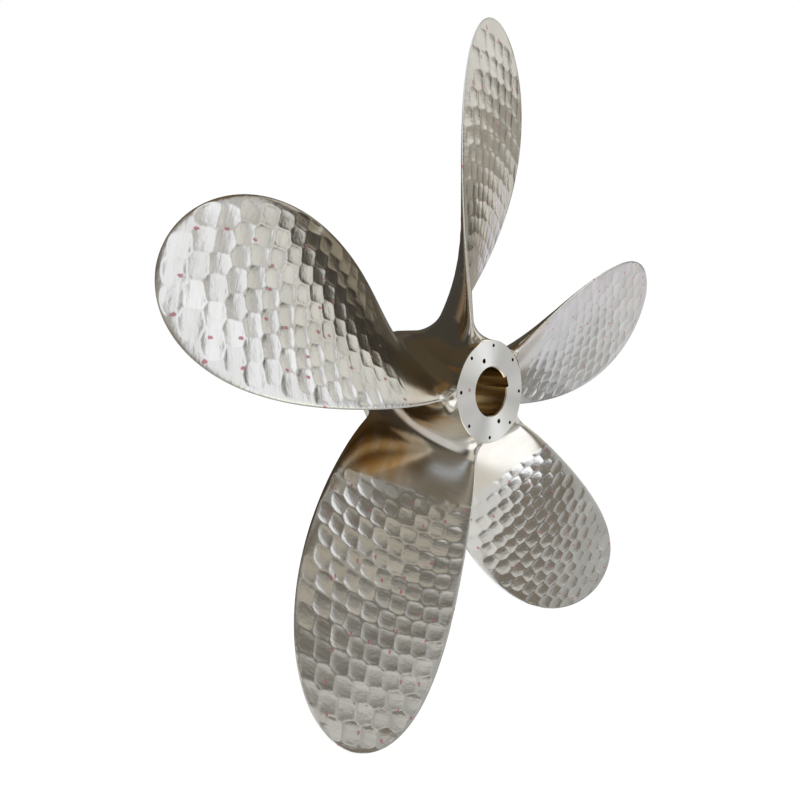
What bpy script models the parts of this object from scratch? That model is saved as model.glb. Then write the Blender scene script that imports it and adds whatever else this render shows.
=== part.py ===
# Ship propeller: one bronze casting, five raked and skewed blades on a hub with a tapered bore.
# Metres, +Z up. The shaft axis is Y and the aft end face of the hub looks along -Y.
# The origin is where the blades' generator line meets the shaft axis.
import math

import bmesh
import bpy
from mathutils import Matrix, Vector

# Whole propeller
TIP_RADIUS = 1.200
BLADE_COUNT = 5
FIRST_BLADE_TURN = math.radians(-2.4)

# Blade faces: how far the pitch, skew and rake go between the hub and the tip
TIP_PITCH = 1.840
ROOT_PITCH_GAIN = 0.900
SKEW_START = 0.30
SKEW_LEAN = math.radians(2.6)
SKEW_SWEEP = math.radians(5.0)
RAKE_LEAN = 0.360
RAKE_RELIEF = 0.090

# Blade sections
ROOT_THICKNESS = 0.105
TIP_THICKNESS = 0.012
THIN_EDGE_WIDTH = 0.300
ROOT_CAMBER = 0.036
FILLET_RADIUS = 0.062
FILLET_EDGE_GAIN = 0.020
EDGE_FLARE = 0.55
FILLET_SINK = 0.0008
ROOT_DEPTH = 0.050
TIP_FLAT = 0.0006

# Hub
AFT_FACE_Y = -0.270
FORWARD_FACE_Y = 0.210
AFT_RADIUS = 0.182
BARREL_RADIUS = 0.223
BARREL_LENGTH = 0.344
FACE_CHAMFER = 0.0015
FORWARD_CHAMFER = 0.008
FACING_RADIUS = 0.215

# Bore and keyway
BORE_RADIUS = 0.0864
BORE_TAPER = 1 / 24
BORE_CHAMFER = 0.004
KEYWAY_WIDTH = 0.040
KEYWAY_DEPTH = 0.012
KEYWAY_TURN = math.radians(62)

# Tapped holes in the aft face
CAP_HOLE_COUNT = 8
CAP_HOLE_CIRCLE = 0.164
CAP_HOLE_RADIUS = 0.006
CAP_HOLE_DEPTH = 0.028
CAP_HOLE_TURN = math.radians(-5.5)
JACK_HOLE_COUNT = 2
JACK_HOLE_CIRCLE = 0.118
JACK_HOLE_RADIUS = 0.008
JACK_HOLE_DEPTH = 0.045
JACK_HOLE_TURN = math.radians(-30)
DRILL_POINT = math.radians(59)

# Facets
CHORD_STEPS = 14
FILLET_STEPS = 6
SPAN_STEPS = 15
TIP_CROWDING = 1.7
SEATING_PASSES = 6
HUB_SIDES = 72
BORE_SIDES = 48
HOLE_SIDES = 12


def blade_width(x):
    """Chord at x, the radius over the tip radius."""
    shape = 0.425 - 0.178 * x + 1.583 * x ** 2 - 0.525 * x ** 3 - 0.167 * (1 - x) ** 6
    return TIP_RADIUS * shape * math.sqrt(1 - x)


def blade_pitch(x):
    return TIP_PITCH + ROOT_PITCH_GAIN * (1 - x) ** 2


def blade_skew(x):
    """Angle by which the middle of the section trails the generator line."""
    u = (x - SKEW_START) / (1 - SKEW_START)
    return -(SKEW_LEAN * u + SKEW_SWEEP * u ** 2)


def blade_rake(x):
    return -RAKE_LEAN * x + RAKE_RELIEF * x ** 2


def blade_thickness(x):
    full = TIP_THICKNESS + (ROOT_THICKNESS - TIP_THICKNESS) * (1 - x)
    return full * min(1.0, blade_width(x) / THIN_EDGE_WIDTH) ** 0.5


def blade_camber(x):
    """Bow of the section's middle line towards the suction side, over its chord."""
    return ROOT_CAMBER * (1 - x)


def barrel_radius(y):
    """Outer radius of the hub, which swells from the aft face to the barrel."""
    along = min(max((y - AFT_FACE_Y) / BARREL_LENGTH, 0.0), 1.0)
    return AFT_RADIUS + (BARREL_RADIUS - AFT_RADIUS) * math.sin(along * math.pi / 2)


def fillet_radius(s):
    """Radius of the root fillet, largest at the leading and trailing edges."""
    return FILLET_RADIUS + FILLET_EDGE_GAIN * (2 * s) ** 2


def station_radius(level, s, y):
    """Radius of a section: level 0 is on the hub, 1 is the top of the root fillet and 2 is the tip."""
    hub = barrel_radius(y)
    if level < 0:
        return hub - ROOT_DEPTH
    if level <= 1:
        return hub - FILLET_SINK + fillet_radius(s) * (1 - math.cos(level * math.pi / 2))
    out = 1 - (2 - level) ** TIP_CROWDING
    return (hub + fillet_radius(s)) * (1 - out) + (TIP_RADIUS - TIP_FLAT) * out


def fillet_growth(level, s):
    """Offset of the root fillet from the bare blade."""
    return fillet_radius(s) * (1 - math.sin(min(max(level, 0), 1) * math.pi / 2))


def bare_point(radius, growth, s, side):
    """Point of the section at this radius, thickened all round by the growth."""
    x = radius / TIP_RADIUS
    chord, thickness = blade_width(x), blade_thickness(x)
    q = s + 0.5
    bow = 2 * math.sqrt(max(q * (1 - q), 0))
    normal = Vector((2 * s * thickness, bow * chord)).normalized()
    chordwise = s * chord + EDGE_FLARE * growth * normal.x
    offset = 4 * q * (1 - q) * blade_camber(x) * chord
    offset += side * (thickness / 2 * bow * (0.9 + 0.2 * q) + growth * normal.y)
    turn = math.atan2(blade_pitch(x), 2 * math.pi * radius)
    arc = chordwise * math.cos(turn) - offset * math.sin(turn)
    along = chordwise * math.sin(turn) + offset * math.cos(turn)
    skew = blade_skew(x)
    angle = FIRST_BLADE_TURN + skew + arc / radius
    y = blade_rake(x) + along + skew * blade_pitch(x) / (2 * math.pi)
    return Vector((radius * math.sin(angle), y, radius * math.cos(angle)))


def section_point(level, s, side):
    """Point at s, from 0.5 at the leading edge to -0.5 at the trailing edge.

    side is 1 on the suction side, which faces forward, and -1 on the pressure side.
    The root follows the swell of the hub, so each point's radius depends on where it lies."""
    point = Vector((0, 0, 0))
    for _ in range(SEATING_PASSES):
        point = bare_point(station_radius(level, s, point.y), fillet_growth(level, s), s, side)
    return point


def blade_levels():
    """Levels of the sections, from inside the hub to the tip."""
    fillet = [k / FILLET_STEPS for k in range(FILLET_STEPS + 1)]
    outer = [1 + k / SPAN_STEPS for k in range(1, SPAN_STEPS + 1)]
    return [-1] + fillet + outer


def section_loop(bm, level):
    steps = [0.5 * math.cos(math.pi * k / CHORD_STEPS) for k in range(CHORD_STEPS + 1)]
    points = [section_point(level, s, -1) for s in steps]
    points += [section_point(level, s, 1) for s in reversed(steps[1:-1])]
    return [bm.verts.new(p) for p in points]


def blade_mesh():
    bm = bmesh.new()
    loops = [section_loop(bm, level) for level in blade_levels()]
    for low, high in zip(loops, loops[1:]):
        for i in range(len(low)):
            j = (i + 1) % len(low)
            bm.faces.new((low[i], low[j], high[j], high[i]))
    bm.faces.new(loops[0])
    bm.faces.new(loops[-1])
    return finish_mesh(bm, "blade")


def turned_mesh(name, outline, sides):
    """Solid turned round the shaft axis from an outline of (y, radius) points."""
    bm = bmesh.new()
    verts = [bm.verts.new((0, y, radius)) for y, radius in outline]
    edges = [bm.edges.new(pair) for pair in zip(verts, verts[1:])]
    bmesh.ops.spin(bm, geom=verts + edges, cent=(0, 0, 0), axis=(0, 1, 0), dvec=(0, 0, 0),
                   angle=2 * math.pi, steps=sides, use_merge=True)
    bmesh.ops.remove_doubles(bm, verts=bm.verts, dist=0.0001)
    return finish_mesh(bm, name)


def finish_mesh(bm, name):
    bmesh.ops.triangulate(bm, faces=[f for f in bm.faces if len(f.verts) > 4])
    bmesh.ops.recalc_face_normals(bm, faces=bm.faces)
    mesh = bpy.data.meshes.new(name)
    bm.to_mesh(mesh)
    bm.free()
    return mesh


def hub_mesh():
    swell = [AFT_FACE_Y + FACE_CHAMFER + (BARREL_LENGTH - FACE_CHAMFER) * k / 7 for k in range(8)]
    outline = [(AFT_FACE_Y, 0.0), (AFT_FACE_Y, AFT_RADIUS - FACE_CHAMFER)]
    outline += [(y, barrel_radius(y)) for y in swell]
    outline += [(FORWARD_FACE_Y - FORWARD_CHAMFER, BARREL_RADIUS),
                (FORWARD_FACE_Y, BARREL_RADIUS - FORWARD_CHAMFER),
                (FORWARD_FACE_Y, 0.0)]
    return turned_mesh("hub", outline, HUB_SIDES)


def bore_radius(y):
    return BORE_RADIUS + BORE_TAPER * (y - AFT_FACE_Y)


def bore_mesh():
    """Tapered bore, wider at the forward end, with a small chamfer at each mouth."""
    over = 0.010
    outline = [(AFT_FACE_Y - over, 0.0),
               (AFT_FACE_Y - over, bore_radius(AFT_FACE_Y) + BORE_CHAMFER + over),
               (AFT_FACE_Y + BORE_CHAMFER, bore_radius(AFT_FACE_Y + BORE_CHAMFER)),
               (FORWARD_FACE_Y - BORE_CHAMFER, bore_radius(FORWARD_FACE_Y - BORE_CHAMFER)),
               (FORWARD_FACE_Y + over, bore_radius(FORWARD_FACE_Y) + BORE_CHAMFER + over),
               (FORWARD_FACE_Y + over, 0.0)]
    return turned_mesh("bore", outline, BORE_SIDES)


def facing_mesh():
    """What the lathe takes off the blade roots in front of the aft face."""
    reach = 0.080
    outline = [(AFT_FACE_Y - reach, 0.0), (AFT_FACE_Y - reach, FACING_RADIUS),
               (AFT_FACE_Y, FACING_RADIUS), (AFT_FACE_Y, 0.0)]
    return turned_mesh("facing", outline, HUB_SIDES)


def keyway_mesh():
    """Slot for the key, along the tapered wall of the bore."""
    bm = bmesh.new()
    bmesh.ops.create_cube(bm, size=1.0)
    over = 0.020
    length = FORWARD_FACE_Y - AFT_FACE_Y + 2 * over
    top = bore_radius(AFT_FACE_Y) + KEYWAY_DEPTH
    inner = 0.5 * BORE_RADIUS
    for v in bm.verts:
        y = AFT_FACE_Y - over + (v.co.y + 0.5) * length
        z = top + BORE_TAPER * (y - AFT_FACE_Y) if v.co.z > 0 else inner
        v.co = Vector((v.co.x * KEYWAY_WIDTH, y, z))
    bmesh.ops.rotate(bm, verts=bm.verts, cent=(0, 0, 0), matrix=Matrix.Rotation(KEYWAY_TURN, 3, "Y"))
    return finish_mesh(bm, "keyway")


def drilled_holes_mesh(name, count, circle, radius, depth, first_turn):
    """Ring of blind holes with drill points, parallel to the shaft."""
    bm = bmesh.new()
    over = 0.010
    point = radius / math.tan(DRILL_POINT)
    outline = [(-over, 0.0), (-over, radius), (depth, radius), (depth + point, 0.0)]
    for k in range(count):
        turn = first_turn + 2 * math.pi * k / count
        verts = [bm.verts.new((0, AFT_FACE_Y + y, r)) for y, r in outline]
        edges = [bm.edges.new(pair) for pair in zip(verts, verts[1:])]
        made = bmesh.ops.spin(bm, geom=verts + edges, cent=(0, 0, 0), axis=(0, 1, 0), dvec=(0, 0, 0),
                              angle=2 * math.pi, steps=HOLE_SIDES, use_merge=True)
        hole = {v for f in bm.faces for v in f.verts if v.co.xz.length < circle / 2}
        hole |= set(verts) | {g for g in made["geom_last"] if isinstance(g, bmesh.types.BMVert)}
        shift = Vector((circle * math.sin(turn), 0, circle * math.cos(turn)))
        bmesh.ops.translate(bm, verts=list(hole), vec=shift)
    bmesh.ops.remove_doubles(bm, verts=bm.verts, dist=0.0001)
    return finish_mesh(bm, name)


def bronze():
    """Polished cast bronze of the hub and the blades."""
    material = bpy.data.materials.new("nickel_aluminium_bronze")
    material.use_nodes = True
    shader = material.node_tree.nodes["Principled BSDF"]
    shader.inputs["Base Color"].default_value = (0.62, 0.56, 0.46, 1)
    shader.inputs["Metallic"].default_value = 1.0
    shader.inputs["Roughness"].default_value = 0.30
    return material


def add_object(name, mesh):
    thing = bpy.data.objects.new(name, mesh)
    bpy.context.scene.collection.objects.link(thing)
    return thing


def add_guide(name, mesh):
    guide = add_object(name, mesh)
    guide.hide_render = True
    guide.display_type = "WIRE"
    return guide


def combine(target, guide, operation):
    step = target.modifiers.new(operation.lower() + "_" + guide.name, "BOOLEAN")
    step.operation = operation
    step.solver = "EXACT"
    step.object = guide


def build_propeller():
    casting = add_object("propeller_casting", hub_mesh())
    casting.data.materials.append(bronze())
    blade = blade_mesh()
    for k in range(BLADE_COUNT):
        guide = add_guide("blade_guide_%d" % (k + 1), blade)
        guide.rotation_euler.y = 2 * math.pi * k / BLADE_COUNT
        combine(casting, guide, "UNION")
    cap_holes = drilled_holes_mesh("cap_holes", CAP_HOLE_COUNT, CAP_HOLE_CIRCLE, CAP_HOLE_RADIUS,
                                   CAP_HOLE_DEPTH, CAP_HOLE_TURN)
    jack_holes = drilled_holes_mesh("jack_holes", JACK_HOLE_COUNT, JACK_HOLE_CIRCLE, JACK_HOLE_RADIUS,
                                    JACK_HOLE_DEPTH, JACK_HOLE_TURN)
    cutters = (("facing_cutter", facing_mesh()), ("bore_cutter", bore_mesh()),
               ("keyway_cutter", keyway_mesh()), ("cap_hole_cutter", cap_holes),
               ("jack_hole_cutter", jack_holes))
    for name, mesh in cutters:
        combine(casting, add_guide(name, mesh), "DIFFERENCE")
    casting.data.shade_smooth()
    casting.data.set_sharp_from_angle(angle=math.radians(35))


for thing in list(bpy.data.objects):
    bpy.data.objects.remove(thing)
build_propeller()
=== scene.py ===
import math

import bmesh
import bpy
import numpy as np
from mathutils import Matrix, Vector


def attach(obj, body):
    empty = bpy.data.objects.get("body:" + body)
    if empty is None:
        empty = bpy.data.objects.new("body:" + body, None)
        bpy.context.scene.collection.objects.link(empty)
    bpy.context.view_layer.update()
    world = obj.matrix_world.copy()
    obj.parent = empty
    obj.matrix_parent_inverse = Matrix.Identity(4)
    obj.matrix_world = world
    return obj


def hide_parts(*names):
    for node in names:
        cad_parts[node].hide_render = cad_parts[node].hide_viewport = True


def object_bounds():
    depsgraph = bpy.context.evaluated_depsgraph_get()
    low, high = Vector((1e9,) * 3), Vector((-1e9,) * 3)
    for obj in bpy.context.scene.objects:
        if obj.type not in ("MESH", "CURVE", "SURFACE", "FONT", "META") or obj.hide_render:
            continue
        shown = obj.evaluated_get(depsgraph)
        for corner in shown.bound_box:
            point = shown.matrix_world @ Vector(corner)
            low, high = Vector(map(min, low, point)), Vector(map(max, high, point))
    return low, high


# Blade form: the part's own values
TIP_RADIUS = 1.200
TIP_FLAT = 0.00005
BLADE_COUNT = 5
FIRST_BLADE_TURN = math.radians(-2.4)
TIP_PITCH = 1.840
ROOT_PITCH_GAIN = 0.900
SKEW_START = 0.30
SKEW_LEAN = math.radians(2.6)
SKEW_SWEEP = math.radians(5.0)
RAKE_LEAN = 0.360
RAKE_RELIEF = 0.090
ROOT_THICKNESS = 0.105
TIP_THICKNESS = 0.012
THIN_EDGE_WIDTH = 0.300
ROOT_CAMBER = 0.036
FILLET_RADIUS = 0.062
FILLET_EDGE_GAIN = 0.020
EDGE_FLARE = 0.55
FILLET_SINK = 0.0008
ROOT_SEAT = 0.006

# Hub form: the part's own values
AFT_FACE_Y = -0.270
FORWARD_FACE_Y = 0.210
AFT_RADIUS = 0.182
BARREL_RADIUS = 0.223
BARREL_LENGTH = 0.344
FACE_CHAMFER = 0.0015
FORWARD_CHAMFER = 0.008
BORE_RADIUS = 0.0864
BORE_TAPER = 1 / 24
BORE_CHAMFER = 0.004
FORWARD_FACE_RINGS = (0.135, 0.160, 0.190)
KEYWAY_WIDTH = 0.040
KEYWAY_DEPTH = 0.012
KEYWAY_TURN = math.radians(62)
CAP_HOLE_COUNT = 8
CAP_HOLE_CIRCLE = 0.164
CAP_HOLE_RADIUS = 0.006
CAP_HOLE_DEPTH = 0.028
CAP_HOLE_TURN = math.radians(-5.5)
JACK_HOLE_COUNT = 2
JACK_HOLE_CIRCLE = 0.118
JACK_HOLE_RADIUS = 0.008
JACK_HOLE_DEPTH = 0.045
JACK_HOLE_TURN = math.radians(-30)
# Shares of a hole's radius: thread crest, thread pitch, countersink and drill point
CREST_SHARE = 0.86
THREAD_PITCH_SHARE = 0.29
COUNTERSINK_SHARE = 1.10
DRILL_POINT_SHARE = 0.6
THREADED_SHARE = 0.75
HOLES_END_Y = -0.20
HOLES_WITHIN = 0.174

# Mesh fineness
COLUMNS_A_SIDE = 180
FILLET_ROWS = 16
SPAN_ROWS = 236
TIP_ROUNDING = 0.12
EDGE_ROUNDING = 0.07
SEATING_ROUNDS = 8
HUB_STEPS = 240
BORE_ROWS = 16
BARREL_ROWS = 30
KEY_STEPS = 9
HOLE_STEPS = 20
SHARP_CORNER = math.radians(38)
SURFACE_GAP = 0.0001
FACE_GAP = 0.0002
MERGE_DISTANCE = 1e-6
ROOT_FLARE_WITHIN = 0.24

# Milling: each pass runs roughly along the chord and leaves a row of shallow dishes. For each
# blade: how far its rows climb along the chord, their pitch and the shift from row to row
BLADE_ROWS = {1: (0.07, 0.0535, 0.70), 2: (0.22, 0.0510, 0.55), 3: (0.24, 0.0500, 0.50),
              4: (0.05, 0.0525, 0.64), 5: (0.02, 0.0505, 0.64)}
DISH_STEP = 0.052
DISH_STEP_GAIN = 0.012
DISH_DEPTH = 0.0021
DISH_HALF_LENGTH = 0.0335
DISH_HALF_WIDTH = 0.0262
# How unevenly the dishes lie: shift of a row and of a dish as shares of a step, depth as a share
# of the full depth, and slope along the chord and along the radius
ROW_SHIFT_SPREAD = 0.22
STEP_SPREAD = 0.12
PITCH_SPREAD = 0.10
DEPTH_SPREAD = 0.30
CHORD_TILT_SPREAD = 0.034
RADIUS_TILT_SPREAD = 0.040
RADIUS_TILT = 0.008
# Towards the tip the dishes get flatter and lean along the chord; near the root they are shallow
TIP_ZONE = (0.80, 1.00)
TIP_FLATTENING = 0.25
TIP_CHORD_TILT = 0.020
ROOT_ZONE = (0.42, 0.62)
ROOT_ZONE_SHARE = 0.62
# Edges of the blade that the cutter left plain, and the depth fading out towards them
PLAIN_EDGE = 0.025
PLAIN_TIP = 1.3 * PLAIN_EDGE
EDGE_FADE = (0.004, 0.022)
# The ground root: radius where it ends, its spread, and how that line rises along the chord
GROUND_RADIUS = 0.408
GROUND_SPREAD = 0.016
GROUND_RISE = 0.62
GROUND_LOW_CHORD = -0.2
GROUND_OVERLAP = 0.2
GROUND_BLUR = 0.004
GROUND_STEP = 0.0003
SKIN_DEPTH = 0.0009

# Finish marks, and the middle of a painted reflection on one blade's root
PAINTED_REFLECTION_SPOT = (-0.300, -0.020, -0.232)
FACE_PEN_SPOT = (-0.122, AFT_FACE_Y, -0.004)

# The photograph's view: azimuth, elevation and roll, lens, and place to the right, up and back
# of the point it looks at
PHOTO_TURN = tuple(math.radians(angle) for angle in (-43.0037, 0.5768, 5.7508))
PHOTO_LENS = 24.92
PHOTO_SENSOR = 36.0
PHOTO_OFFSET = (-0.0515, -0.0645, 2.2543)
LOOK_POINT = Vector((0, 0.125, 0))
FLOOR_RADIUS = 40.0
FLOOR_GAP = 0.001
FLOOR_SIDES = 96

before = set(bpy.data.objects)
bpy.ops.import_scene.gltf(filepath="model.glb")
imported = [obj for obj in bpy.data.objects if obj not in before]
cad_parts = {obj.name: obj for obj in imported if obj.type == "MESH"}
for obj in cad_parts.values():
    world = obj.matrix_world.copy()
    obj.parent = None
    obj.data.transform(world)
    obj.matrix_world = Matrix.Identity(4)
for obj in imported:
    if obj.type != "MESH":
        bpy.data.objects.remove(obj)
cad_box = [list(corner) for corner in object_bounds()]


# Blade surface

def blade_width(x):
    """Chord at a share x of the tip radius: a smooth outline with a round tip."""
    shape = 0.425 - 0.178 * x + 1.583 * x ** 2 - 0.525 * x ** 3 - 0.167 * (1 - x) ** 6
    return TIP_RADIUS * shape * np.sqrt(1 - x)


def blade_pitch(x):
    return TIP_PITCH + ROOT_PITCH_GAIN * (1 - x) ** 2


def blade_skew(x):
    u = (x - SKEW_START) / (1 - SKEW_START)
    return -(SKEW_LEAN * u + SKEW_SWEEP * u ** 2)


def blade_rake(x):
    return -RAKE_LEAN * x + RAKE_RELIEF * x ** 2


def blade_thickness(x):
    full = TIP_THICKNESS + (ROOT_THICKNESS - TIP_THICKNESS) * (1 - x)
    return full * np.sqrt(np.minimum(1.0, blade_width(x) / THIN_EDGE_WIDTH))


def barrel_radius(y):
    along = np.clip((y - AFT_FACE_Y) / BARREL_LENGTH, 0.0, 1.0)
    return AFT_RADIUS + (BARREL_RADIUS - AFT_RADIUS) * np.sin(along * math.pi / 2)


def fillet_radius(s):
    return FILLET_RADIUS + FILLET_EDGE_GAIN * (2 * s) ** 2


def station_radius(level, s, y):
    """Radius of a point: level 0 is on the hub, 1 the top of the root fillet and 2 the tip."""
    hub = barrel_radius(y)
    fillet = fillet_radius(s)
    low = hub - FILLET_SINK + fillet * (1 - np.cos(np.clip(level, 0, 1) * math.pi / 2))
    out = np.clip(level - 1, 0, 1)
    high = (hub + fillet) * (1 - out) + (TIP_RADIUS - TIP_FLAT) * out
    return np.where(level < 0, hub - ROOT_SEAT, np.where(level <= 1, low, high))


def section_points(radius, growth, s, side):
    """Points of the blade section at each radius, thickened all round by the growth."""
    x = np.minimum(radius / TIP_RADIUS, 1.0)
    chord, thickness = blade_width(x), blade_thickness(x)
    q = s + 0.5
    bow = 2 * np.sqrt(np.clip(q * (1 - q), 0, None))
    lean, rise = 2 * s * thickness, bow * chord
    size = np.maximum(np.hypot(lean, rise), 1e-9)
    chordwise = s * chord + EDGE_FLARE * growth * lean / size
    offset = 4 * q * (1 - q) * ROOT_CAMBER * (1 - x) * chord
    offset = offset + side * (thickness / 2 * bow * (0.9 + 0.2 * q) + growth * rise / size)
    turn = np.arctan2(blade_pitch(x), 2 * math.pi * radius)
    arc = chordwise * np.cos(turn) - offset * np.sin(turn)
    along = chordwise * np.sin(turn) + offset * np.cos(turn)
    skew = blade_skew(x)
    angle = FIRST_BLADE_TURN + skew + arc / radius
    y = blade_rake(x) + along + skew * blade_pitch(x) / (2 * math.pi)
    return np.stack((radius * np.sin(angle), y, radius * np.cos(angle)), -1)


def blade_surface(level, s, side):
    """Points of the blade, seated on the tapered hub, and each point's radius."""
    growth = fillet_radius(s) * (1 - np.sin(np.clip(level, 0, 1) * math.pi / 2))
    y = np.zeros_like(level)
    for _ in range(SEATING_ROUNDS):
        radius = station_radius(level, s, y)
        points = section_points(radius, growth, s, side)
        y = points[..., 1]
    return points, radius


# Milling marks

def chance(*keys):
    """Number from 0 to 1 that depends only on its whole-number keys."""
    mixed = 0.0
    for key, weight in zip(keys, (12.9898, 78.233, 37.719, 4.581)):
        mixed = mixed + key * weight
    return np.modf(np.abs(np.sin(mixed) * 43758.5453))[0]


def smooth_step(low, high, value):
    t = np.clip((value - low) / (high - low), 0, 1)
    return t * t * (3 - 2 * t)


def half_width(radius):
    return blade_width(np.minimum(radius / TIP_RADIUS, 1.0)) / 2


def ground_line(chord, blade):
    """Radius where the ground root ends and the milled face begins."""
    lift = GROUND_SPREAD * (chance(blade, 7.0) - 0.5)
    return GROUND_RADIUS + lift + GROUND_RISE * np.clip(chord - GROUND_LOW_CHORD, 0, None) ** 2


def bowl(away, half):
    """Shape of a dish along one way: 0 in the middle, 1 at the rim, steeper towards it."""
    t = away / half
    return 0.55 * t ** 2 + 0.45 * t ** 4


def dishes(radius, chord, blade, face):
    """Depth that the cutter left below the blade's surface, and each point's dish number."""
    slope, pitch, shift = BLADE_ROWS[blade]
    depth, number = np.zeros_like(radius), np.zeros_like(radius)
    across = radius - slope * chord
    row = np.floor(across / pitch)
    for j in range(-1, 3):
        line = row + j
        step = DISH_STEP + DISH_STEP_GAIN * line * pitch
        stagger = shift * line + ROW_SHIFT_SPREAD * (chance(line, 3.0, blade, face) - 0.5)
        column = np.floor(chord / step - stagger)
        for i in range(-1, 3):
            cell = column + i
            luck = [chance(line, cell, blade + 11 * face, k) - 0.5 for k in range(1, 7)]
            away_c = chord - (cell + stagger + STEP_SPREAD * luck[1]) * step
            away_r = across - (line + PITCH_SPREAD * luck[0]) * pitch
            middle_c = chord - away_c
            middle_r = radius - away_r - slope * away_c
            outer = smooth_step(*TIP_ZONE, middle_r)
            full = ROOT_ZONE_SHARE + (1 - ROOT_ZONE_SHARE) * smooth_step(*ROOT_ZONE, middle_r)
            cut = bowl(away_c, DISH_HALF_LENGTH) + bowl(away_r, DISH_HALF_WIDTH)
            cut = (1 - TIP_FLATTENING * outer) * cut
            cut = DISH_DEPTH * (cut - full * (1 + DEPTH_SPREAD * luck[2]))
            cut = (cut + away_c * (CHORD_TILT_SPREAD * luck[3] - TIP_CHORD_TILT * outer)
                   + away_r * (RADIUS_TILT_SPREAD * luck[4] + RADIUS_TILT))
            cutting = np.abs(middle_c) < half_width(middle_r) - PLAIN_EDGE
            cutting &= middle_r > ground_line(middle_c, blade) - GROUND_OVERLAP * pitch
            cutting &= middle_r < TIP_RADIUS - PLAIN_TIP
            lower = cutting & (cut < depth)
            depth = np.where(lower, cut, depth)
            number = np.where(lower, luck[5] + 0.5, number)
    edge = np.minimum(half_width(radius) - np.abs(chord), TIP_RADIUS - radius)
    return depth * smooth_step(*EDGE_FADE, edge), number


def worked_surface(level, radius, chord, blade, face):
    """Depth with the ground root, how milled each point is, and its dish number."""
    depth, number = dishes(radius, chord, blade, face)
    beyond = radius - ground_line(chord, blade)
    ground = 1 - smooth_step(-GROUND_BLUR, GROUND_BLUR, beyond)
    depth = depth * (1 - ground) - GROUND_STEP * ground * smooth_step(0.3, 1.0, level)
    return depth - SKIN_DEPTH * smooth_step(0.9, 1.2, level), 1 - ground, number


# Meshes

def spun(outline, axis, steps):
    """Shape turned from an outline, with its seam and its poles closed."""
    bm = bmesh.new()
    verts = [bm.verts.new(point) for point in outline]
    edges = [bm.edges.new(pair) for pair in zip(verts, verts[1:])]
    bmesh.ops.spin(bm, geom=verts + edges, cent=(0, 0, 0), axis=axis, dvec=(0, 0, 0),
                   angle=2 * math.pi, steps=steps, use_merge=True)
    bmesh.ops.remove_doubles(bm, verts=bm.verts, dist=MERGE_DISTANCE)
    return bm


def finished_mesh(name, bm):
    mesh = bpy.data.meshes.new(name)
    bm.to_mesh(mesh)
    bm.free()
    return mesh


def add_piece(name, bm):
    """Shows the shape as a piece, smooth but for its corners, faces outwards."""
    bmesh.ops.recalc_face_normals(bm, faces=bm.faces)
    mesh = finished_mesh(name, bm)
    mesh.shade_smooth()
    mesh.set_sharp_from_angle(angle=SHARP_CORNER)
    piece = bpy.data.objects.new(name, mesh)
    bpy.context.scene.collection.objects.link(piece)
    return piece


def edge_spacing(t):
    """Even steps from 0 to 1 that get finer towards both ends."""
    near = np.minimum(t, 1 - t) * 2
    soft = np.where(near < EDGE_ROUNDING, near ** 2 / (2 * EDGE_ROUNDING), near - EDGE_ROUNDING / 2)
    soft = soft / (1 - EDGE_ROUNDING / 2) / 2
    return np.where(t < 0.5, soft, 1 - soft)


def blade_levels():
    """Rows from the seat in the hub to the tip, finer over the milled face and at the tip."""
    fillet = np.arange(FILLET_ROWS + 1) / FILLET_ROWS
    left = 1 - np.interp(np.arange(1, SPAN_ROWS) / SPAN_ROWS, (0, 0.08, 1), (0, 0.13, 1))
    soft = np.where(left < TIP_ROUNDING, left ** 2 / (2 * TIP_ROUNDING), left - TIP_ROUNDING / 2)
    return np.concatenate(([-1.0], fillet, 2 - soft / (1 - TIP_ROUNDING / 2)))


def blade_blank():
    """Closed tube of unit radius along Z, with one ring of vertices for each row of a blade."""
    rows = len(blade_levels())
    outline = [(0, 0, 0)] + [(1, 0, k) for k in range(rows)] + [(0, 0, rows - 1)]
    return finished_mesh("blade_blank", spun(outline, (0, 0, 1), 2 * COLUMNS_A_SIDE))


def outward(points):
    """Unit normals of rings of points, turned away from the middle of each ring."""
    normal = np.cross(np.roll(points, -1, 1) - np.roll(points, 1, 1), np.gradient(points, axis=0))
    normal /= np.maximum(np.linalg.norm(normal, axis=-1, keepdims=True), 1e-12)
    away = (normal * (points - points.mean(1, keepdims=True))).sum()
    return normal if away > 0 else -normal


def turned(points, angle):
    """Points turned about the shaft axis."""
    x, y, z = points[..., 0], points[..., 1], points[..., 2]
    return np.stack((x * math.cos(angle) + z * math.sin(angle), y,
                     z * math.cos(angle) - x * math.sin(angle)), -1)


def blade_rings(blade):
    """Rings of points of a finished blade, with the values that its finish follows."""
    column = np.arange(2 * COLUMNS_A_SIDE)
    t = np.minimum(column, 2 * COLUMNS_A_SIDE - column) / COLUMNS_A_SIDE
    level, s = np.meshgrid(blade_levels(), 0.5 - edge_spacing(t), indexing="ij")
    side = np.broadcast_to(np.where(column <= COLUMNS_A_SIDE, -1.0, 1.0), level.shape)
    points, radius = blade_surface(level, s, side)
    chord = s * 2 * half_width(radius)
    depth, milled, number = worked_surface(level, radius, chord, blade, (side + 1) / 2)
    points = points + outward(points) * depth[..., None]
    points = turned(points, 2 * math.pi * (blade - 1) / BLADE_COUNT)
    return points, {"milled": milled, "dish": number}, np.stack((chord, radius), -1)


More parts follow.
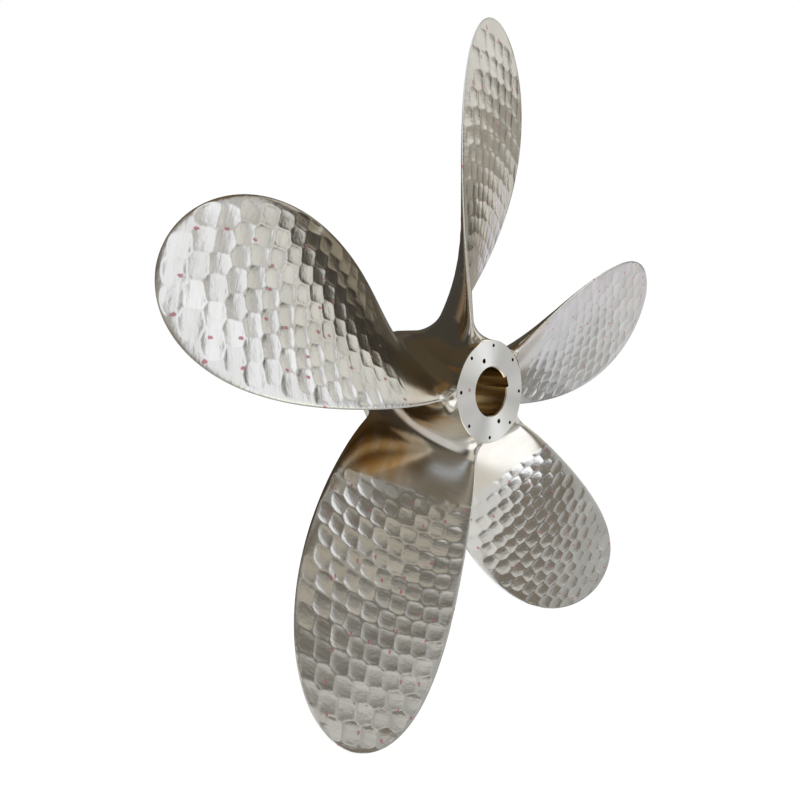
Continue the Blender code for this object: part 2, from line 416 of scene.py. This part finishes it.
def shaped_blade(blank, blade):
    """Copy of the blank with its vertices moved onto the blade, and what the finish follows."""
    mesh = blank.copy()
    points, values, flat = blade_rings(blade)
    spot = np.empty(len(mesh.vertices) * 3)
    mesh.vertices.foreach_get("co", spot)
    x, y, z = spot.reshape(-1, 3).T
    row = np.rint(z).astype(int)
    column = np.rint(np.arctan2(y, x) * COLUMNS_A_SIDE / math.pi).astype(int) % (2 * COLUMNS_A_SIDE)
    pole = (np.hypot(x, y) < 0.5)[:, None]
    spot = np.where(pole, points.mean(1)[row], points[row, column])
    mesh.vertices.foreach_set("co", spot.ravel())
    for name, value in values.items():
        layer = mesh.attributes.new(name, "FLOAT", "POINT")
        layer.data.foreach_set("value", value[row, column].astype(np.float32))
    corner = np.empty(len(mesh.loops), int)
    mesh.loops.foreach_get("vertex_index", corner)
    flat = np.where(pole, flat.mean(1)[row], flat[row, column])[corner]
    mesh.uv_layers.new(name="blade_face").uv.foreach_set("vector", flat.ravel().astype(np.float32))
    return mesh


def face_off_root(mesh):
    """Shape of the blade with its root flare cut level with the hub's aft face."""
    bm = bmesh.new()
    bm.from_mesh(mesh)
    root = [f for f in bm.faces if f.calc_center_median().xz.length < ROOT_FLARE_WITHIN]
    edges = {e for f in root for e in f.edges}
    verts = {v for f in root for v in f.verts}
    cut = bmesh.ops.bisect_plane(bm, geom=list(verts) + list(edges) + root, dist=MERGE_DISTANCE,
                                 plane_co=(0, AFT_FACE_Y + FACE_GAP, 0), plane_no=(0, -1, 0),
                                 clear_outer=True)["geom_cut"]
    rim = [e for e in cut if isinstance(e, bmesh.types.BMEdge) and e.is_boundary]
    bmesh.ops.holes_fill(bm, edges=rim, sides=0)
    return bm


# Hub

def bore_radius(y):
    return BORE_RADIUS + BORE_TAPER * (y - AFT_FACE_Y)


def hub_outline():
    """From the bore's aft mouth through the bore, over the forward face and back to the aft rim."""
    aft_mouth = bore_radius(AFT_FACE_Y) + BORE_CHAMFER
    forward_mouth = bore_radius(FORWARD_FACE_Y) + BORE_CHAMFER
    points = [(AFT_FACE_Y, aft_mouth)]
    points += [(y, bore_radius(y)) for y in
               np.linspace(AFT_FACE_Y + BORE_CHAMFER, FORWARD_FACE_Y - BORE_CHAMFER, BORE_ROWS)]
    points += [(FORWARD_FACE_Y, r) for r in (forward_mouth, *FORWARD_FACE_RINGS)]
    points += [(FORWARD_FACE_Y, BARREL_RADIUS - FORWARD_CHAMFER)]
    points += [(FORWARD_FACE_Y - FORWARD_CHAMFER, BARREL_RADIUS)]
    points += [(y, float(barrel_radius(y))) for y in
               np.linspace(AFT_FACE_Y + BARREL_LENGTH, AFT_FACE_Y + FACE_CHAMFER, BARREL_ROWS)]
    points += [(AFT_FACE_Y, AFT_RADIUS - FACE_CHAMFER)]
    return [(0, float(y), float(r)) for y, r in points]


def cut_keyway(bm):
    """Pushes the bore's wall out to the keyway's flat floor and upright sides."""
    step = 2 * math.pi / HUB_STEPS
    for v in bm.verts:
        radius = v.co.xz.length
        turn = math.atan2(v.co.x, v.co.z) - KEYWAY_TURN
        index = round(math.atan2(math.sin(turn), math.cos(turn)) / step)
        if radius > bore_radius(v.co.y) + BORE_CHAMFER + 0.0005 or abs(index) > KEY_STEPS:
            continue
        if abs(index) == KEY_STEPS:
            across = math.copysign(KEYWAY_WIDTH / 2, index)
            up = math.sqrt(radius ** 2 - across ** 2)
        else:
            across = KEYWAY_WIDTH / 2 * index / (KEY_STEPS - 1)
            up = bore_radius(v.co.y) + KEYWAY_DEPTH
        v.co.x = across * math.cos(KEYWAY_TURN) + up * math.sin(KEYWAY_TURN)
        v.co.z = up * math.cos(KEYWAY_TURN) - across * math.sin(KEYWAY_TURN)


def tapped_hole(bm, turn, circle, radius, depth):
    """Countersunk, threaded and drilled hole, taken down from one circle ring by ring."""
    crest = radius * CREST_SHARE
    pitch = radius * THREAD_PITCH_SHARE
    mouth = radius * COUNTERSINK_SHARE
    centre = Vector((circle * math.sin(turn), AFT_FACE_Y, circle * math.cos(turn)))
    verts = bmesh.ops.create_circle(bm, cap_ends=False, radius=mouth,
                                    segments=HOLE_STEPS)["verts"]
    upright = Matrix.Translation(centre) @ Matrix.Rotation(math.radians(90), 4, "X")
    bmesh.ops.transform(bm, matrix=upright, verts=verts)
    edges = list({e for v in verts for e in v.link_edges})
    stops = [(mouth - crest, crest)]
    for k in range(int(depth * THREADED_SHARE / pitch)):
        start = mouth - crest + k * pitch
        stops += [(start + 0.5 * pitch, radius), (start + pitch, crest)]
    stops += [(depth, crest), (depth + crest * DRILL_POINT_SHARE, 1e-5)]
    now, deep = mouth, 0.0
    for next_deep, next_radius in stops:
        grown = bmesh.ops.extrude_edge_only(bm, edges=edges)["geom"]
        verts = [g for g in grown if isinstance(g, bmesh.types.BMVert)]
        edges = [g for g in grown if isinstance(g, bmesh.types.BMEdge)]
        bmesh.ops.scale(bm, verts=verts, vec=(next_radius / now, 1, next_radius / now),
                        space=Matrix.Translation(-centre))
        bmesh.ops.translate(bm, verts=verts, vec=(0, next_deep - deep, 0))
        now, deep = next_radius, next_deep
    bmesh.ops.pointmerge(bm, verts=verts, merge_co=centre + Vector((0, deep, 0)))


def hub_casting():
    bm = spun(hub_outline(), (0, 1, 0), HUB_STEPS)
    cut_keyway(bm)
    for k in range(CAP_HOLE_COUNT):
        tapped_hole(bm, CAP_HOLE_TURN + 2 * math.pi * k / CAP_HOLE_COUNT,
                    CAP_HOLE_CIRCLE, CAP_HOLE_RADIUS, CAP_HOLE_DEPTH)
    for k in range(JACK_HOLE_COUNT):
        tapped_hole(bm, JACK_HOLE_TURN + 2 * math.pi * k / JACK_HOLE_COUNT,
                    JACK_HOLE_CIRCLE, JACK_HOLE_RADIUS, JACK_HOLE_DEPTH)
    rims = [e for e in bm.edges if e.is_boundary]
    bmesh.ops.triangle_fill(bm, use_beauty=True, use_dissolve=False, edges=rims,
                            normal=(0, -1, 0))
    return bm


def finish_hub(piece, barrel, turned_face, bored, painted_hole_shade):
    """Gives the barrel, the turned faces and the bore each their own finish, and paints shade into
    the tapped holes.
    """
    mesh = piece.data
    for material in (barrel, turned_face, bored, painted_hole_shade):
        mesh.materials.append(material)
    for face in mesh.polygons:
        x, y, z = face.center
        radius = math.hypot(x, z)
        inside = AFT_FACE_Y + SURFACE_GAP < y < FORWARD_FACE_Y - SURFACE_GAP
        if not inside:
            face.material_index = 1
        elif radius < bore_radius(y) + KEYWAY_DEPTH + 0.003:   # bore wall and keyway
            face.material_index = 2
        # The tapped holes get a near-black colour as painted shade
        elif y < HOLES_END_Y and radius < HOLES_WITHIN:
            face.material_index = 3


# Finishes

def colour(code):
    """Linear colour of an sRGB hex value."""
    parts = [int(code[k:k + 2], 16) / 255 for k in (1, 3, 5)]
    return (*(c / 12.92 if c <= 0.04045 else ((c + 0.055) / 1.055) ** 2.4 for c in parts), 1.0)


def add_node(tree, kind, inputs=None, **settings):
    """Adds a node; an input given as a socket is linked and any other value is set."""
    node = tree.nodes.new("ShaderNode" + kind)
    for key, value in settings.items():
        setattr(node, key, value)
    for key, value in (inputs or {}).items():
        if isinstance(value, bpy.types.NodeSocket):
            tree.links.new(value, node.inputs[key])
        else:
            node.inputs[key].default_value = value
    return node


def new_metal(name, roughness, anisotropic=0.0):
    material = bpy.data.materials.new(name)
    material.use_nodes = True
    shader = material.node_tree.nodes["Principled BSDF"]
    shader.inputs["Metallic"].default_value = 1.0
    shader.inputs["Roughness"].default_value = roughness
    shader.inputs["Anisotropic"].default_value = anisotropic
    return material, material.node_tree, shader


def pen_dabs(tree, face, milled):
    """Where the inspector's red pen touched the milled face: a dab about 10 mm long here and
    there, on every other spot of a loose grid 65 to 90 mm apart."""
    # Their outline wavers by a few millimetres
    wobble = add_node(tree, "TexNoise", {"Vector": face, "Scale": 130.0, "Detail": 1.0}).outputs[1]
    wobble = add_node(tree, "VectorMath", {0: wobble, 1: (0.006, 0.006, 0.0)},
                      operation="MULTIPLY").outputs[0]
    spot = add_node(tree, "VectorMath", {0: face, 1: wobble}, operation="ADD").outputs[0]
    spot = add_node(tree, "Mapping", {0: spot, 3: (15.0, 11.0, 1.0)}).outputs[0]
    grid = add_node(tree, "TexVoronoi", {"Vector": spot, "Scale": 1.0}, voronoi_dimensions="2D")
    near = add_node(tree, "MapRange", {0: grid.outputs["Distance"], 1: 0.088, 2: 0.055,
                                       3: 0.0, 4: 1.0})
    pick = add_node(tree, "SeparateColor", {0: grid.outputs["Color"]}).outputs[0]
    pick = add_node(tree, "Math", {0: pick, 1: 0.46}, operation="GREATER_THAN").outputs[0]
    dab = add_node(tree, "Math", {0: near.outputs[0], 1: pick}, operation="MULTIPLY").outputs[0]
    dab = add_node(tree, "Math", {0: dab, 1: milled}, operation="MULTIPLY").outputs[0]
    return add_node(tree, "Math", {0: dab, 1: 0.70}, operation="MULTIPLY").outputs[0]


def milled_bronze():
    """Nickel-aluminium bronze, cast, then milled in rows and ground smooth at the root: pale
    gold-grey dishes with fine cutter lines, and a warmer, smoother root."""
    material, tree, shader = new_metal("milled_nickel_aluminium_bronze", 0.28)
    place = add_node(tree, "TexCoord").outputs["Object"]
    face = add_node(tree, "UVMap", uv_map="blade_face").outputs[0]
    milled = add_node(tree, "Attribute", attribute_name="milled").outputs["Fac"]
    dish = add_node(tree, "Attribute", attribute_name="dish").outputs["Fac"]
    # Clouds of tone about 170 mm across, and each dish a little lighter or darker than the next
    cloud = add_node(tree, "TexNoise", {"Vector": place, "Scale": 6.0, "Detail": 4.0}).outputs[0]
    tone = add_node(tree, "MapRange", {0: cloud, 1: 0.3, 2: 0.7, 3: 0.0, 4: 1.0}).outputs[0]
    clean = add_node(tree, "Mix", {0: tone, 6: colour("#e1ded6"), 7: colour("#d7d3c9")},
                     data_type="RGBA").outputs[2]
    warm = add_node(tree, "Mix", {0: tone, 6: colour("#dfd9cc"), 7: colour("#d2c9b8")},
                    data_type="RGBA").outputs[2]
    shade = add_node(tree, "MapRange", {0: dish, 1: 0.0, 2: 1.0, 3: 0.92, 4: 1.04}).outputs[0]
    clean = add_node(tree, "Mix", {0: 1.0, 6: clean, 7: shade}, data_type="RGBA",
                     blend_type="MULTIPLY").outputs[2]
    # Golden-brown painted reflection on one blade's root, standing in for the warm surroundings
    # that it reflects: it reaches 210 mm and is broken into streaks about 40 mm wide and 140 mm
    # long
    reflection_distance = add_node(tree, "VectorMath", {0: place, 1: PAINTED_REFLECTION_SPOT}, operation="DISTANCE")
    streaks = add_node(tree, "TexNoise", {"Vector": add_node(tree, "Mapping", {
        0: face, 3: (26.0, 7.0, 1.0)}).outputs[0], "Scale": 1.0, "Detail": 3.0}).outputs[0]
    painted_reflection = add_node(tree, "MapRange", {0: streaks, 1: 0.35, 2: 0.65, 3: 0.75, 4: 1.15}).outputs[0]
    reach = add_node(tree, "MapRange", {0: reflection_distance.outputs["Value"], 1: 0.21, 2: 0.08,
                                        3: 0.0, 4: 1.0})
    painted_reflection = add_node(tree, "Math", {0: painted_reflection, 1: reach.outputs[0]}, operation="MULTIPLY",
                    use_clamp=True)
    # The painted reflection is mixed over the root's own colour
    warm = add_node(tree, "Mix", {0: painted_reflection.outputs[0], 6: warm, 7: colour("#b9935f")},
                    data_type="RGBA").outputs[2]
    base = add_node(tree, "Mix", {0: milled, 6: warm, 7: clean}, data_type="RGBA").outputs[2]
    inked = pen_dabs(tree, face, milled)
    base = add_node(tree, "Mix", {0: inked, 6: base, 7: colour("#b84a64")},
                    data_type="RGBA").outputs[2]
    tree.links.new(base, shader.inputs["Base Color"])
    tree.links.new(add_node(tree, "Math", {0: 1.0, 1: inked}, operation="SUBTRACT").outputs[0],
                   shader.inputs["Metallic"])
    # Cutter lines run along the chord; the real ones are about 1 mm apart, drawn at 5 mm
    along = add_node(tree, "Mapping", {0: face, 3: (9.0, 190.0, 1.0)}).outputs[0]
    lines = add_node(tree, "TexNoise", {"Vector": along, "Scale": 1.0, "Detail": 2.0}).outputs[0]
    rough = add_node(tree, "MapRange", {0: lines, 1: 0.3, 2: 0.7, 3: 0.15, 4: 0.22}).outputs[0]
    tree.links.new(rough, shader.inputs["Roughness"])
    # The cutter chattered a little, which leaves soft waves 17 to 26 mm long in every dish
    waves = add_node(tree, "TexNoise", {"Vector": add_node(tree, "Mapping", {
        0: face, 3: (38.0, 60.0, 1.0)}).outputs[0], "Scale": 1.0, "Detail": 2.0}).outputs[0]
    waves = add_node(tree, "Math", {0: waves, 1: milled}, operation="MULTIPLY").outputs[0]
    chatter = add_node(tree, "Bump", {"Strength": 0.55, "Distance": 0.0012, "Height": waves})
    bump = add_node(tree, "Bump", {"Strength": 0.15, "Distance": 0.0006, "Height": lines,
                                   "Normal": chatter.outputs[0]})
    tree.links.new(bump.outputs[0], shader.inputs["Normal"])
    return material


def polished_bronze():
    """Nickel-aluminium bronze, ground and polished by hand with a flap wheel: warm, with soft
    wheel marks and a slightly uneven gloss."""
    material, tree, shader = new_metal("polished_nickel_aluminium_bronze", 0.22)
    place = add_node(tree, "TexCoord").outputs["Object"]
    # The wheel worked over patches about 110 mm across
    cloud = add_node(tree, "TexNoise", {"Vector": place, "Scale": 9.0, "Detail": 4.0}).outputs[0]
    base = add_node(tree, "Mix", {0: cloud, 6: colour("#ded6c7"), 7: colour("#cdc2ae")},
                    data_type="RGBA").outputs[2]
    tree.links.new(base, shader.inputs["Base Color"])
    rough = add_node(tree, "MapRange", {0: cloud, 1: 0.3, 2: 0.7, 3: 0.10, 4: 0.18}).outputs[0]
    tree.links.new(rough, shader.inputs["Roughness"])
    return material


def turned_bronze():
    """Nickel-aluminium bronze faced on a lathe: fine rings that pull every highlight out
    into bright wedges across the face."""
    material, tree, shader = new_metal("turned_nickel_aluminium_bronze", 0.34, 1.0)
    place = add_node(tree, "TexCoord").outputs["Object"]
    # One dab of the inspector's pen beside the bore
    away = add_node(tree, "VectorMath", {0: place, 1: FACE_PEN_SPOT},
                    operation="DISTANCE").outputs["Value"]
    inked = add_node(tree, "MapRange", {0: away, 1: 0.008, 2: 0.004, 3: 0.0, 4: 0.7}).outputs[0]
    base = add_node(tree, "Mix", {0: inked, 6: colour("#efece5"), 7: colour("#d2507c")},
                    data_type="RGBA").outputs[2]
    tree.links.new(base, shader.inputs["Base Color"])
    # The gloss is drawn out across the rings, so its direction points away from the shaft axis
    round_way = add_node(tree, "VectorMath", {0: place, 1: (0.0, 1.0, 0.0)},
                         operation="CROSS_PRODUCT").outputs[0]
    outwards = add_node(tree, "VectorMath", {0: round_way, 1: (0.0, 1.0, 0.0)},
                        operation="CROSS_PRODUCT").outputs[0]
    tree.links.new(outwards, shader.inputs["Tangent"])
    # Turning rings about 0.3 mm apart, drawn at 6 mm
    reach = add_node(tree, "VectorMath", {0: round_way}, operation="LENGTH").outputs["Value"]
    rings = add_node(tree, "TexNoise", noise_dimensions="1D")
    tree.links.new(reach, rings.inputs["W"])
    rings.inputs["Scale"].default_value = 160.0
    rings.inputs["Detail"].default_value = 3.0
    bump = add_node(tree, "Bump", {"Strength": 0.12, "Distance": 0.0006,
                                   "Height": rings.outputs[0]})
    tree.links.new(bump.outputs[0], shader.inputs["Normal"])
    return material


def bored_bronze():
    """Nickel-aluminium bronze, bored and lapped to the shaft's taper: warm, with a soft gloss
    that changes along the bore where the tool's cuts meet."""
    material, tree, shader = new_metal("bored_nickel_aluminium_bronze", 0.22)
    place = add_node(tree, "TexCoord").outputs["Object"]
    # Cuts some 0.2 mm wide, drawn as bands about 20 mm wide
    along = add_node(tree, "Mapping", {0: place, 3: (2.0, 50.0, 2.0)}).outputs[0]
    bands = add_node(tree, "TexNoise", {"Vector": along, "Scale": 1.0, "Detail": 3.0}).outputs[0]
    base = add_node(tree, "Mix", {0: bands, 6: colour("#e2d2b4"), 7: colour("#cbb692")},
                    data_type="RGBA").outputs[2]
    tree.links.new(base, shader.inputs["Base Color"])
    rough = add_node(tree, "MapRange", {0: bands, 1: 0.3, 2: 0.7, 3: 0.17, 4: 0.27}).outputs[0]
    tree.links.new(rough, shader.inputs["Roughness"])
    return material


def painted_hole_shade_bronze():
    """Painted shade in the drilled and tapped holes: the bronze there is coloured near black where
    shade falls down the holes, and a little browner in patches."""
    material, tree, shader = new_metal("painted_shade_in_tapped_holes", 0.5)
    place = add_node(tree, "TexCoord").outputs["Object"]
    # Patches of the painted shade about 4 mm wide, a little browner
    shade_patches = add_node(tree, "TexNoise", {"Vector": place, "Scale": 250.0, "Detail": 2.0}).outputs[0]
    base = add_node(tree, "Mix", {0: shade_patches, 6: colour("#1e1a16"), 7: colour("#3c3228")},
                    data_type="RGBA").outputs[2]
    # The near-black base colour is painted shade, not the metal's own colour
    tree.links.new(base, shader.inputs["Base Color"])
    return material


def floor_paint():
    """Pale studio floor, matt and lit so evenly that it reads as white."""
    material = bpy.data.materials.new("pale_floor_paint")
    material.use_nodes = True
    shader = material.node_tree.nodes["Principled BSDF"]
    shader.inputs["Base Color"].default_value = colour("#f3f4f7")
    shader.inputs["Roughness"].default_value = 0.9
    shader.inputs["Specular IOR Level"].default_value = 0.0
    shader.inputs["Emission Color"].default_value = (1.0, 1.0, 1.0, 1.0)
    shader.inputs["Emission Strength"].default_value = 0.90
    return material


# Pieces: one casting, kept as one mesh for the hub and one for each blade

blade_finish = milled_bronze()
blank = blade_blank()
pieces = []
for blade in range(1, BLADE_COUNT + 1):
    piece = add_piece(f"casting_blade_{blade}", face_off_root(shaped_blade(blank, blade)))
    piece.data.materials.append(blade_finish)
    pieces.append(piece)
hub = add_piece("casting_hub", hub_casting())
finish_hub(hub, polished_bronze(), turned_bronze(), bored_bronze(), painted_hole_shade_bronze())
pieces.append(hub)
for piece in pieces:
    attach(piece, "root")
    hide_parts("propeller_casting")


# Studio

# Soft boxes and walls round the object: azimuth from and to, elevation from and to, edge
# softness, colour and strength; a later one covers an earlier one
SURROUNDINGS = (
    # the room, its warm ceiling and the lamps under it
    (-200, 200, -95, 95, 2, "#494642", 1.0),
    (-200, 200, 46, 95, 12, "#564d3e", 1.0),
    (-70, 80, 52, 95, 10, "#6e583c", 1.0),
    (-70, 80, 60, 66, 5, "#8c7148", 1.0),
    (-60, 40, 72, 78, 5, "#7d6743", 1.0),
    # aft of the object
    (-118, -56, -50, -8, 8, "#e4e8f0", 1.0),
    (-60, -8, -4, 46, 10, "#7b766e", 1.0),
    (-38, -31, 8, 42, 3, "#c6d2e6", 1.0),
    (-14, 36, -16, 60, 8, "#a2a19f", 1.0),
    (-14, 36, 32, 42, 8, "#726b62", 1.0),
    (-14, 36, 17, 27, 7, "#c6c0b4", 1.0),
    (-14, 36, 4, 12, 7, "#6f6b65", 1.0),
    (-12, 30, -17, -5, 6, "#dcdddd", 1.0),
    # to the right
    (76, 128, -4, 17, 5, "#9f998f", 1.0),
    (70, 98, 3, 25, 5, "#aaa69f", 1.0),
    (76, 102, 10, 14, 3, "#f4f1ea", 1.0),
    (76, 102, 1, 5, 3, "#eae7e0", 1.0),
    (100, 150, 19, 36, 6, "#5a5349", 1.0),
    (58, 86, 24, 50, 8, "#dddbd8", 1.0),
    (82, 104, 22, 40, 8, "#a19989", 1.0),
    (76, 100, 38, 50, 5, "#dedacf", 1.0),
    (62, 87, 24, 40, 6, "#f4f4f3", 1.0),
    (40, 100, -46, -8, 8, "#e2e5ef", 1.0),
    (50, 112, -12, 8, 6, "#e8e7f3", 1.0),
    (48, 95, -52, -29, 6, "#999a9c", 1.0),
    (24, 60, -26, 50, 6, "#b7b8ba", 1.0),
    (32, 54, 12, 50, 7, "#f0f4ff", 1.4),
    (34, 62, -14, 3, 5, "#d9dadb", 1.0),
    (36, 52, 2, 12, 4, "#e6ede9", 2.0),
    # under the object and behind it
    (-40, -3, -44, 4, 6, "#f0f2f5", 1.0),
    (2, 27, -39, -19, 5, "#877f76", 1.0),
    (27, 45, -34, -14, 5, "#c2c4c6", 1.0),
    (-200, 200, -95, -42, 6, "#d9dde3", 0.85),
    (-50, 44, -70, -42, 7, "#eef3ff", 1.8),
    (118, 200, -60, -27, 5, "#dfe4ec", 1.0),
    (-200, -118, -60, -27, 5, "#dfe4ec", 1.0),
    (130, 200, -16, -2, 6, "#8a7864", 1.0),
    (-200, -118, -16, -2, 6, "#8a7864", 1.0),
)


def studio_world():
    """Light from all round: one colour for the room, then each soft box over it. The camera sees
    plain white behind the object."""
    world = bpy.data.worlds.new("soft_studio")
    world.use_nodes = True
    tree = world.node_tree
    tree.nodes.clear()
    look = add_node(tree, "SeparateXYZ", {0: add_node(tree, "TexCoord").outputs["Generated"]})
    aft = add_node(tree, "Math", {0: look.outputs[1], 1: -1.0}, operation="MULTIPLY").outputs[0]
    turn = add_node(tree, "Math", {0: look.outputs[0], 1: aft}, operation="ARCTAN2").outputs[0]
    rise = add_node(tree, "Math", {0: look.outputs[2]}, operation="ARCSINE").outputs[0]
    shown = None
    for west, east, low, high, soft, code, strength in SURROUNDINGS:
        sides = []
        for angle, start, end in ((turn, west, east), (rise, low, high)):
            away = add_node(tree, "Math", {0: angle, 1: math.radians((start + end) / 2)},
                            operation="SUBTRACT").outputs[0]
            away = add_node(tree, "Math", {0: away}, operation="ABSOLUTE").outputs[0]
            half = (end - start) / 2
            limits = {1: math.radians(half + soft / 2), 2: math.radians(half - soft / 2)}
            sides.append(add_node(tree, "MapRange", {0: away, **limits, 3: 0.0, 4: 1.0},
                                  interpolation_type="SMOOTHSTEP").outputs[0])
        inside = add_node(tree, "Math", {0: sides[0], 1: sides[1]},
                          operation="MULTIPLY").outputs[0]
        light = tuple(strength * part for part in colour(code)[:3]) + (1.0,)
        if shown is None:
            shown = light
            continue
        shown = add_node(tree, "Mix", {0: inside, 6: shown, 7: light}, data_type="RGBA",
                         clamp_result=False).outputs[2]
    camera_ray = add_node(tree, "LightPath").outputs["Is Camera Ray"]
    shown = add_node(tree, "Mix", {0: camera_ray, 6: shown, 7: (1.0, 1.0, 1.0, 1.0)},
                     data_type="RGBA").outputs[2]
    sky = add_node(tree, "Background", {0: shown, 1: 1.0})
    add_node(tree, "OutputWorld", {0: sky.outputs[0]})
    bpy.context.scene.world = world


def studio_floor():
    bm = bmesh.new()
    bmesh.ops.create_circle(bm, cap_ends=True, radius=FLOOR_RADIUS, segments=FLOOR_SIDES)
    bmesh.ops.translate(bm, verts=bm.verts, vec=(0, 0, cad_box[0][2] - FLOOR_GAP))
    floor = add_piece("studio_floor", bm)
    floor.data.materials.append(floor_paint())
    floor.visible_glossy = False


def photo_camera():
    """The photograph's view: in front of the aft face, to its left, level and rolled slightly."""
    azimuth, elevation, roll = PHOTO_TURN
    back = Vector((math.sin(azimuth) * math.cos(elevation),
                   -math.cos(azimuth) * math.cos(elevation), math.sin(elevation)))
    right = Vector((math.cos(azimuth), math.sin(azimuth), 0))
    up = back.cross(right)
    camera = bpy.data.objects.new("photo_camera", bpy.data.cameras.new("photo_camera"))
    camera.data.lens = PHOTO_LENS
    camera.data.sensor_width = PHOTO_SENSOR
    camera.data.sensor_fit = "HORIZONTAL"
    side = right * math.cos(roll) + up * math.sin(roll)
    top = up * math.cos(roll) - right * math.sin(roll)
    across, above, behind = PHOTO_OFFSET
    place = LOOK_POINT + right * across + up * above + back * behind
    axes = Matrix((side, top, back)).transposed().to_4x4()
    camera.matrix_world = Matrix.Translation(place) @ axes
    bpy.context.scene.collection.objects.link(camera)
    bpy.context.scene.camera = camera


studio_world()
studio_floor()
photo_camera()
bpy.context.scene.view_settings.view_transform = "Standard"
